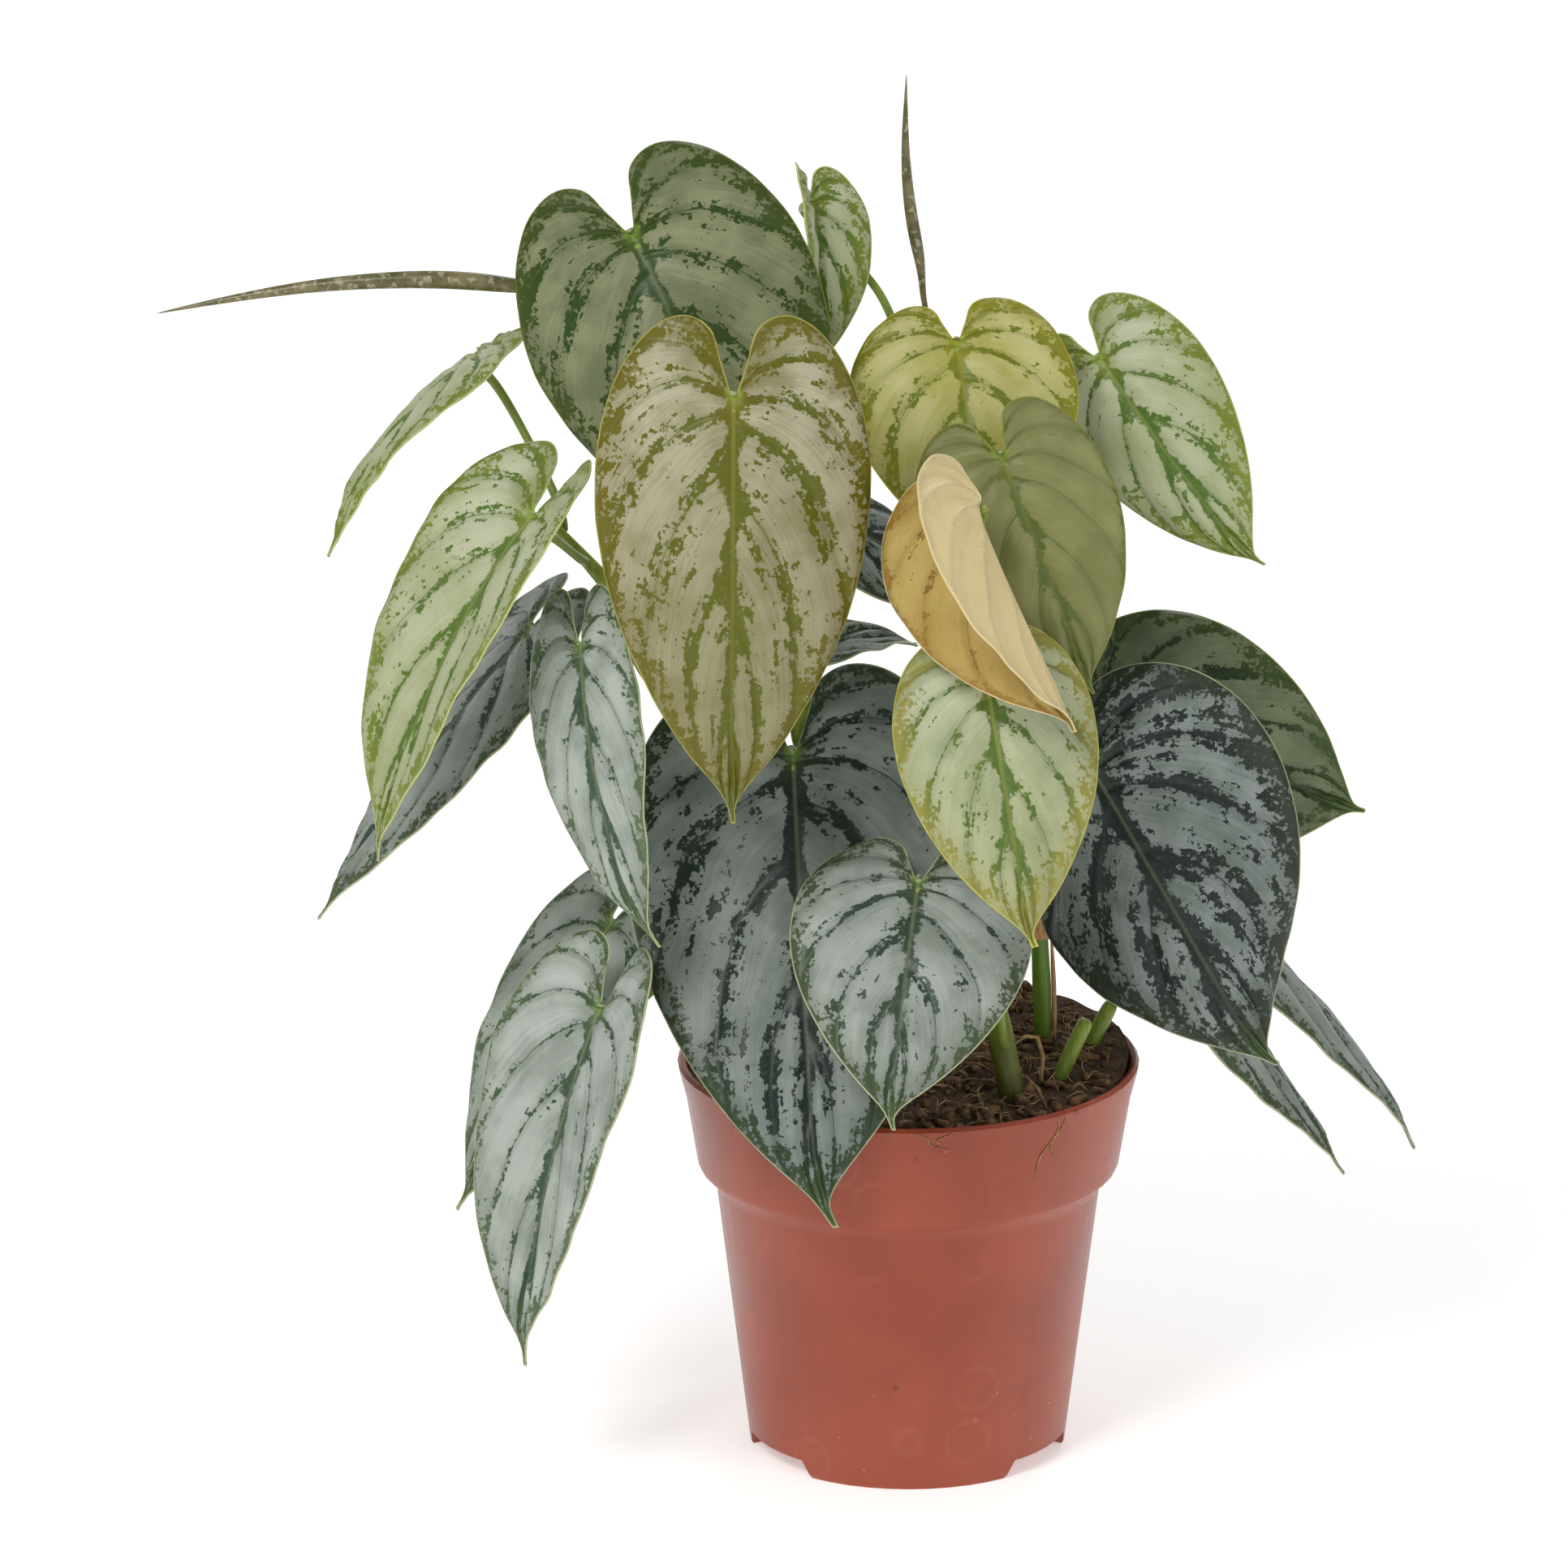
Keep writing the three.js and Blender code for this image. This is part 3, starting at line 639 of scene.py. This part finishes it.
def blade_sheet(node, stalk_end, upward, hook):
    """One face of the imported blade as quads, with each corner's place across and down the leaf."""
    shape = copied(node)
    across = shape.verts.layers.float.new("across")
    down = shape.verts.layers.float.new("down")
    inside = BVHTree.FromBMesh(shape)

    def thin(face):
        start = face.calc_center_median() - face.normal * 1e-5
        hit = inside.ray_cast(start, -face.normal)
        return hit[0] is not None and hit[3] < 0.0014

    def joined(edge):
        if edge.calc_face_angle(0) < quad_bend:
            return True
        return edge.calc_length() > 0.005 and all(thin(face) for face in edge.link_faces)

    sheets = [patch for patch in patches(shape, joined) if len(patch) == 2 * COLUMNS * ROWS]
    sheet = max(sheets, key=lambda faces: min((f.calc_center_median() - stalk_end).length for f in faces))
    kept = set(sheet)
    bmesh.ops.delete(shape, geom=[f for f in shape.faces if f not in kept], context="FACES")

    first = next(iter(shape.faces))
    spots = dict(zip(first.verts, (np.array((0, 0)), np.array((1, 0)), np.array((0, 1)))))
    stack = [first]
    seen = {first}
    while stack:
        face = stack.pop()
        for edge in face.edges:
            for other in edge.link_faces:
                if other not in seen:
                    a, b = edge.verts
                    c = next(v for v in face.verts if v not in (a, b))
                    d = next(v for v in other.verts if v not in (a, b))
                    spots[d] = spots[a] + spots[b] - spots[c]
                    seen.add(other)
                    stack.append(other)
    single = [v for v in shape.verts if len(v.link_faces) == 1]
    double = [v for v in shape.verts if len(v.link_faces) == 2]
    origin = spots[single[0]]
    sides = {math.gcd(*(abs(int(n)) for n in spots[v] - origin)): spots[v] - origin for v in double}
    basis = np.linalg.inv(np.array((sides[COLUMNS] / COLUMNS, sides[ROWS] / ROWS)).T)
    grid = {v: np.rint(basis @ (spots[v] - origin)).astype(int) for v in shape.verts}

    def width(row):
        ends = [v.co for v in shape.verts if grid[v][1] == row and grid[v][0] in (0, COLUMNS)]
        return (ends[0] - ends[1]).length

    if width(0) < width(ROWS):
        grid = {v: np.array((c, ROWS - r)) for v, (c, r) in grid.items()}
    for vert in shape.verts:
        vert[across] = grid[vert][0] / (COLUMNS / 2) - 1
        vert[down] = grid[vert][1]
    slanted = [e for e in shape.edges if all(grid[e.verts[0]] != grid[e.verts[1]])]
    bmesh.ops.dissolve_edges(shape, edges=slanted, use_verts=False, use_face_split=False)
    if sum(face.calc_area() * face.normal.dot(upward) for face in shape.faces) < 0:
        bmesh.ops.reverse_faces(shape, faces=shape.faces)

    # The outline is drawn out a little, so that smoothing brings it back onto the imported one.
    moves = {}
    for vert in shape.verts:
        nearby = [e.other_vert(vert).co for e in vert.link_edges if e.is_boundary]
        if len(nearby) == 2 and vert[down] < ROWS - 1:
            moves[vert] = vert.co + (vert.co * 2 - nearby[0] - nearby[1]) / 5
    for vert, spot in moves.items():
        vert.co = spot
    # The tip is pinched to a drip tip and hooked to one side.
    for row, pinch in ((8, 0.96), (9, 0.78), (10, 0.5)):
        line = [v for v in shape.verts if v[down] == row]
        middle = next(v.co.copy() for v in line if v[across] == 0)
        for vert in line:
            vert.co = middle + (vert.co - middle) * pinch
    rows = [[v for v in shape.verts if v[down] == row] for row in range(ROWS + 1)]
    sideways = max(rows[8], key=lambda v: v[across]).co - min(rows[8], key=lambda v: v[across]).co
    for row, share in ((ROWS - 1, 0.25), (ROWS, 1.0)):
        for vert in rows[row]:
            vert.co += sideways.normalized() * hook * share / 1000
    return shape


def finish_blade(piece, seed):
    """Quilts a blade, sinks its midrib, ruffles its margin and gives it its thickness.

    Each corner keeps its distance in millimetres from the edge and from the midrib for the markings.
    """
    rounded(piece, 3)
    mesh = piece.data
    count = len(mesh.vertices)
    place, normal = np.empty(count * 3), np.empty(count * 3)
    across, down = np.empty(count), np.empty(count)
    mesh.vertices.foreach_get("co", place)
    mesh.vertices.foreach_get("normal", normal)
    mesh.attributes["across"].data.foreach_get("value", across)
    mesh.attributes["down"].data.foreach_get("value", down)
    place, normal = place.reshape(-1, 3), normal.reshape(-1, 3)
    used = np.zeros(len(mesh.edges), int)
    for polygon in mesh.polygons:
        for key in polygon.loop_indices:
            used[mesh.loops[key].edge_index] += 1
    rim = {v for e, n in zip(mesh.edges, used) if n == 1 for v in e.vertices}
    tree = KDTree(len(rim))
    for index in rim:
        tree.insert(place[index], index)
    tree.balance()
    edge = np.array([tree.find(spot)[2] * 1000 for spot in place])
    far = np.abs(across)
    phase = (down - 0.9 * far - 1.3 * far**2) * vein_pace + side_step * np.sign(across) + leaf_step * seed
    between = 0.5 - np.abs(phase % 1 - 0.5)
    spine = KDTree(count)
    for index in np.flatnonzero(far < 1e-4):
        spine.insert(place[index], index)
    spine.balance()
    rib = np.array([spine.find(spot)[2] * 1000 for spot in place])
    field = np.clip((far - 0.04) / 0.16, 0, 1) * np.clip(edge / 3, 0, 1)
    raised = quilt * (2 * between) ** 0.7 * field
    groove = -0.5 * np.exp(-((rib / 1.3) ** 2)) * np.clip((10.5 - down) / 6, 0, 1)
    away = seed * 3.7
    sway = np.array([noise.noise(Vector(spot) * 38 + Vector((away, 0, 0))) for spot in place])
    ripple = np.array([noise.noise(Vector(spot) * 110 + Vector((0, away, 0))) for spot in place])
    margin = np.clip(1 - edge / 9, 0, 1)
    lift = (raised + groove + ruffle * (sway * far * 1.6 + ripple * margin)) / 1000
    mesh.vertices.foreach_set("co", (place + normal * lift[:, None]).ravel())
    for name, values in (("edge", edge), ("rib", rib), ("seed", np.full(count, seed))):
        note = mesh.attributes.new(name, "FLOAT", "POINT")
        note.data.foreach_set("value", values.astype(np.float32))
    sheet = piece.modifiers.new("sheet", "SOLIDIFY")
    sheet.thickness = sheet_thickness
    sheet.offset = -1
    sheet.material_offset = 1
    settle(piece)
    piece.data.shade_smooth()


def silver_group():
    """The leaf's markings: silver fields between green veins, a mottled border and a pale margin line, and
    painted shade along the vein grooves.
    """
    amounts = ("Across", "Down", "Edge", "Rib", "Seed", "Cover", "Ragged", "Border", "Spine", "Ripe")
    inputs = {name: "Float" for name in amounts}
    inputs.update({name: "Color" for name in ("Green", "Deep", "Silver", "Bloom", "Margin")})
    inputs["Place"] = "Vector"
    outputs = {"Color": "Color", "Roughness": "Float", "Height": "Float"}
    group, ends, out = new_group("silver_marks_and_vein_shade", inputs, outputs)

    def less(first, second):
        return calc(group, "SUBTRACT", first, second)

    def times(*terms):
        total = terms[0]
        for term in terms[1:]:
            total = calc(group, "MULTIPLY", total, term)
        return total

    def plus(*terms):
        total = terms[0]
        for term in terms[1:]:
            total = calc(group, "ADD", total, term)
        return total

    place, edge, rib = ends["Place"], ends["Edge"], ends["Rib"]
    far = calc(group, "ABSOLUTE", ends["Across"])
    side = calc(group, "SIGN", ends["Across"])
    # Side veins leave the midrib slanting and arch on towards the tip, left and right out of step.
    arch = plus(times(far, -0.9), times(far, far, -1.3))
    wander = calc(group, "MULTIPLY_ADD", grain(group, place, 45.0, 2.0), 0.5, -0.25)
    down = plus(ends["Down"], arch, wander)
    out_of_step = plus(times(side, side_step), times(ends["Seed"], leaf_step), 9.0)
    phase = calc(group, "FRACT", plus(times(down, vein_pace), out_of_step))
    vein = times(calc(group, "ABSOLUTE", less(phase, 0.5)), 2.0)
    drawn = put(
        group, "CombineXYZ", {0: times(ends["Across"], 2.7), 1: times(down, 2.6), 2: times(ends["Seed"], 5.1)}
    ).outputs[0]
    blotch = less(grain(group, drawn, 1.0, 3.0, 0.6), 0.5)
    torn = less(grain(group, place, 260.0, 4.0, 0.62), 0.5)
    frayed = less(grain(group, place, 850.0, 3.0, 0.6), 0.5)
    ragged = times(plus(times(blotch, 1.7), times(torn, 1.5), frayed), ends["Ragged"])
    near_vein = calc(group, "POWER", vein, 2.6)
    near_edge = less(1.0, rise(group, calc(group, "DIVIDE", edge, ends["Border"]), 0.0, 2.4))
    # Silver shows where the score is over nought: less at a vein and in the border, torn at its rim.
    veined = times(near_vein, calc(group, "MULTIPLY_ADD", far, 0.22, -0.5))
    bordered = times(near_edge, plus(-0.36, times(torn, 0.9), times(frayed, 1.1)))
    field = rise(group, plus(ends["Cover"], veined, bordered, ragged), -0.035, 0.035)
    # Green daggers run out along the veins from the midrib's own green strip.
    dagger = times(calc(group, "POWER", vein, 1.6), plus(2.6, times(blotch, 9.0)))
    strip = times(ends["Spine"], -1.0)
    reach = plus(rib, strip, times(dagger, -1.0), times(torn, 4.0), times(frayed, 2.0))
    taper = rise(group, ends["Down"], 1.0, 10.5, 1.0, 0.35)
    clear = rise(group, plus(reach, times(ends["Spine"], less(1.0, taper))), -0.3, 0.5)
    skirt = rise(group, plus(edge, times(torn, 4.0), times(frayed, 2.5)), 0.5, 1.1)
    field = times(field, clear, skirt)
    # Fine pale lines run with the veins through the silver.
    flow = put(group, "CombineXYZ", {0: times(ends["Across"], 1.2), 1: times(down, 12.0), 2: ends["Seed"]})
    lines = grain(group, flow.outputs[0], 1.5, 3.0, 0.6)
    shade = grain(group, place, 75.0, 3.0)
    outward = plus(rise(group, edge, 1.5, 11.0), times(less(shade, 0.5), 1.2))
    outward = calc(group, "MINIMUM", calc(group, "MAXIMUM", outward, 0.0), 1.0)
    green = mix(group, outward, ends["Green"], ends["Deep"])
    green = mix(group, rise(group, frayed, 0.0, 0.2, 0.0, 0.16), green, ends["Silver"])
    green = mix(group, rise(group, ends["Down"], 8.6, 10.6, 0.0, 0.5), green, tint("#4f6b33"))
    bloomed = rise(group, plus(times(lines, 0.3), times(shade, 0.7)), 0.36, 0.64)
    silver = mix(group, bloomed, ends["Silver"], ends["Bloom"])
    ripened = times(rise(group, plus(ends["Down"], times(shade, 6.0)), 5.0, 13.0), ends["Ripe"])
    silver = mix(group, ripened, silver, ends["Green"])
    collar = times(rise(group, plus(ends["Down"], times(shade, 2.0)), 0.5, 4.5, 1.0, 0.0), ends["Ripe"])
    silver = mix(group, collar, silver, ends["Deep"])
    silver = mix(group, times(near_edge, 0.35), silver, ends["Green"])
    body = mix(group, times(field, 0.94), green, silver)
    # Painted shade: a thin dark line along each vein, where the vein runs in a groove.
    vein_groove_painted_shadow = times(rise(group, vein, 0.945, 0.995), rise(group, far, 0.5, 1.0, 0.75, 0.1))
    body = mix(group, vein_groove_painted_shadow, body, ends["Deep"])
    # Painted shade: the colour darkens a little towards each side vein, where the sheet dips into a crease.
    vein_crease_painted_shade = times(rise(group, vein, 0.55, 1.0), rise(group, far, 0.05, 0.2), 0.16)
    body = mix(group, vein_crease_painted_shade, body, ends["Deep"])
    pale_rib = times(rise(group, rib, 0.25, 0.75, 1.0, 0.0), rise(group, ends["Down"], 2.0, 9.0, 0.5, 0.15))
    body = mix(group, pale_rib, body, mix(group, 0.4, ends["Green"], ends["Margin"]))
    joint = times(rise(group, rib, 0.8, 3.2, 1.0, 0.0), rise(group, ends["Down"], 0.3, 3.4, 0.75, 0.0))
    body = mix(group, joint, body, tint("#93b63f"))
    body = mix(group, rise(group, edge, 0.22, 0.5, 0.8, 0.0), body, ends["Margin"])
    rough = plus(rise(group, field, 0.0, 1.0, 0.36, 0.44), times(torn, 0.12))
    relief = plus(times(rise(group, vein, 0.7, 1.0), -1.1), times(lines, 0.12), times(torn, 0.3))
    feed(group, out, {"Color": body, "Roughness": rough, "Height": relief})
    return group


silver_marks_and_vein_shade = silver_group()


def blade_look(name, green, deep, silver, bloom, margin, cover, ragged, border, spine, ripe, under=None):
    """The face of a blade; the underside has the same marks, paler and duller."""
    look, tree, shader = new_material(name, IOR=1.4, Specular_IOR_Level=0.4)
    values = {"Green": green, "Deep": deep, "Silver": silver, "Bloom": bloom, "Margin": margin}
    values = {key: tint(value) for key, value in values.items()}
    for key in ("Across", "Down", "Edge", "Rib", "Seed"):
        values[key] = put(tree, "Attribute", attribute_name=key.lower()).outputs["Fac"]
    values["Place"] = object_place(tree)
    values.update({"Cover": cover, "Ragged": ragged, "Border": border, "Spine": spine, "Ripe": ripe})
    marks = put(tree, "Group", values, node_tree=silver_marks_and_vein_shade).outputs
    colour = mix(tree, 0.6, marks["Color"], tint(under)) if under else marks["Color"]
    relief = {"Strength": 0.5, "Distance": 0.0005, "Height": marks["Height"]}
    bump = put(tree, "Bump", relief, invert=under is not None).outputs["Normal"]
    feed(tree, shader, {"Base Color": colour, "Roughness": marks["Roughness"], "Normal": bump})
    return look


# Border green, midrib green, silver, pale silver and margin; then how much silver there is, how
# ragged it is, the border's and the midrib strip's width in millimetres, and how ripe the tip is.
looks = {
    "dark": ("#36442f", "#222e28", "#737e77", "#939c97", "#b5ba92", 0.26, 0.9, 3.6, 2.2, 0.15),
    "night": ("#30392b", "#1f2924", "#68726c", "#8e9692", "#b5ba92", 0.19, 1.0, 4.4, 2.8, 0.15),
    "blue": ("#465438", "#33473a", "#8b938b", "#b0b7b0", "#c6c99f", 0.34, 0.85, 3.0, 1.1, 0.2),
    "silvery": ("#566846", "#3d523f", "#939b93", "#bac0b9", "#c6c99f", 0.42, 0.8, 2.8, 0.9, 0.15),
    "green": ("#76842f", "#55702d", "#aab089", "#c8cbb0", "#c9cd8c", 0.36, 0.85, 4.0, 0.9, 0.35),
    "crown": ("#3a4a10", "#2b4313", "#6e7554", "#929672", "#84893a", 0.29, 0.8, 4.0, 1.5, 0.3),
    "warm": ("#665f10", "#5a5f12", "#918d6c", "#bbb69d", "#b8b160", 0.26, 0.95, 3.2, 1.5, 0.6),
    "yellow": ("#86841f", "#6e7a22", "#aeab5a", "#cdc88c", "#c3b94e", 0.32, 0.8, 3.4, 0.9, 0.4),
    "plain": ("#6a7032", "#58662f", "#7a7c4c", "#8f905e", "#98984a", 0.5, 0.45, 1.4, 0.5, 0.3),
    "shade": ("#3c4c1d", "#27381d", "#5e6a50", "#838b6c", "#8d9550", 0.31, 0.75, 3.6, 1.0, 0.3),
    "pale": ("#948f45", "#56702f", "#9da886", "#bfc6a8", "#cdc766", 0.35, 0.95, 3.8, 1.0, 0.45),
    "bright": ("#75871f", "#637a20", "#869830", "#96a840", "#a5ab58", 0.5, 0.3, 1.5, 0.5, 0.2),
    "young": ("#96732c", "#82642a", "#a8904a", "#bfa966", "#ead9a4", 0.4, 0.9, 1.6, 0.4, 0.35),
}
wearing = {
    "crown": "crown", "front": "warm", "yellow": "yellow", "olive": "plain", "young": "young",
    "mid": "pale", "far_right": "green", "high_left": "green", "left": "green",
    "left_small": "silvery", "left_under": "blue", "centre": "dark", "low_front": "blue",
    "right": "night", "right_back": "shade", "low_left": "silvery",
    "low_left_back": "silvery", "low_right_a": "blue", "low_right_b": "blue", "top_back": "green",
    "mid_back": "dark", "back_edge": "blue", "back_green": "bright", "rear_left": "plain",
}
# How far a drip tip is hooked to one side, in millimetres, where it isn't the usual way.
usual_hook = 0.8
hooks = {
    "centre": 2.6, "right": -2.0, "low_front": -1.6, "mid": 1.4, "high_left": 2.2,
    "low_right_a": -2.4, "left": -1.5,
}
faces = {}
for name, values in looks.items():
    under = "#efdfae" if name == "young" else "#9aa68c"
    upper = blade_look("leaf_" + name + "_upper", *values)
    faces[name] = (upper, blade_look("leaf_" + name + "_under", *values, under))
stalk_green = stalk_look("petiole_green", "#76893a", "#8fa046", "#5f7430", 0.3)

petiole_sides = 6


def end_of(node, other):
    """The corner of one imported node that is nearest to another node."""
    near = BVHTree.FromObject(other, bpy.context.evaluated_depsgraph_get())
    return min((v.co for v in node.data.vertices), key=lambda spot: near.find_nearest(spot)[3]).copy()


def middle_near(node, spot, reach):
    """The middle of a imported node's corners that lie near a place."""
    near = [v.co for v in node.data.vertices if (v.co - spot).length < reach]
    return sum(near, Vector()) / len(near)


def hourglass(share):
    """A petiole is a little thicker at both ends."""
    return 1.12 - 0.16 * math.sin(math.pi * share)


for seed, (name, look) in enumerate(wearing.items()):
    blade, petiole = "leaf_" + name + "_blade", "leaf_" + name + "_petiole"
    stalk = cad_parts[petiole]
    end = end_of(stalk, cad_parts[blade])
    upward = middle_near(stalk, end, 0.0035) - middle_near(stalk, end, 0.016)
    shape = blade_sheet(blade, end, upward, hooks.get(name, usual_hook))
    piece = made(blade + "_grown", shape, faces[look], [blade])
    finish_blade(piece, seed)
    root = max((v.co for v in stalk.data.vertices), key=lambda spot: (spot - end).length).copy()
    tube_piece(petiole + "_grown", petiole, petiole_sides, root, stalk_green, (0.0016, 0.0011), hourglass)

# ---- Spears ----
# The next leaves, still rolled tight: each is one thick-skinned shiny blade, rolled into a long
# tapering tube with a fine point, and it grows out of the end of a stem.

spear_look, tree, shader = new_material("rolled_leaf", IOR=1.45)
place = object_place(tree)
cloud = grain(tree, place, 160.0, 4.0)
fleck = rise(tree, grain(tree, place, 620.0, 3.0), 0.55, 0.62)
body = mix(tree, rise(tree, cloud, 0.35, 0.65), tint("#55552f"), tint("#7d7250"))
body = mix(tree, calc(tree, "MULTIPLY", fleck, 0.6), body, tint("#b0aa90"))
bump = put(tree, "Bump", {"Strength": 0.4, "Distance": 0.0004, "Height": cloud}).outputs["Normal"]
feed(tree, shader, {"Base Color": body, "Roughness": rise(tree, cloud, 0.3, 0.7, 0.22, 0.34), "Normal": bump})
for spear in ("spear_left", "spear_top"):
    shape = copied(spear)
    join_quads(shape)
    rounded(made(spear + "_rolled", shape, [spear_look], [spear]), 3)

# ---- Papery sheath ----
# The dry tan bract that once wrapped a bud, thin as paper, still clasping the right stem. A pale
# strip of it is left lower down on the same stem.

sheath_look, tree, shader = new_material("dry_sheath", Roughness=0.75)
drawn = put(tree, "Mapping", {"Vector": object_place(tree), "Scale": (1.0, 1.0, 0.1)}).outputs["Vector"]
lines = grain(tree, drawn, 1200.0, 3.0)
body = mix(tree, rise(tree, lines, 0.3, 0.7), tint("#b0763c"), tint("#dcb07c"))
bump = put(tree, "Bump", {"Strength": 0.5, "Distance": 0.0003, "Height": lines}).outputs["Normal"]
feed(tree, shader, {"Base Color": body, "Normal": bump})

# Its upper half is drawn in to a crest.
drawn_from, drawn_share = 0.45, 0.75
shape = copied("sheath")
sheath_low, sheath_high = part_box("sheath")
crest = max((v.co for v in shape.verts), key=lambda spot: spot.z + spot.x * 0.3).copy()
for vert in shape.verts:
    share = (vert.co.z - sheath_low.z) / (sheath_high.z - sheath_low.z)
    drawn_in = drawn_share * max(0.0, (share - drawn_from) / (1 - drawn_from)) ** 1.5
    vert.co.x += (crest.x - vert.co.x) * drawn_in
    vert.co.y += (crest.y - vert.co.y) * drawn_in
join_quads(shape)
rounded(made("papery_sheath", shape, [sheath_look], ["sheath"]), 3)

strip_steps = 8
strip_foot, strip_head = ground + 0.004, sheath_low.z + 0.003
strip = []
for step in range(strip_steps + 1):
    height = strip_foot + (strip_head - strip_foot) * step / strip_steps
    strip.append(beside("right", height, (0.0031, -0.0011 - 0.0004 * math.sin(step), 0)))
shape = bmesh.new()
strand(shape, strip, 0.00075, 6)
bmesh.ops.recalc_face_normals(shape, faces=shape.faces)
made("sheath_strip", shape, [sheath_look])

# ---- Stubs ----
# Two old petioles, cut short with a blade and left standing in the soil; they are green above and
# brown where they have dried near the ground.

stub_sides = 8
stub_look = stalk_look("cut_stub", "#5d7a24", "#93a63e", "#4d6a1e", 0.2, 0.3)
for stub in ("stub_front", "stub_rear"):
    tube_piece(stub + "_grown", stub, stub_sides, underground, stub_look)
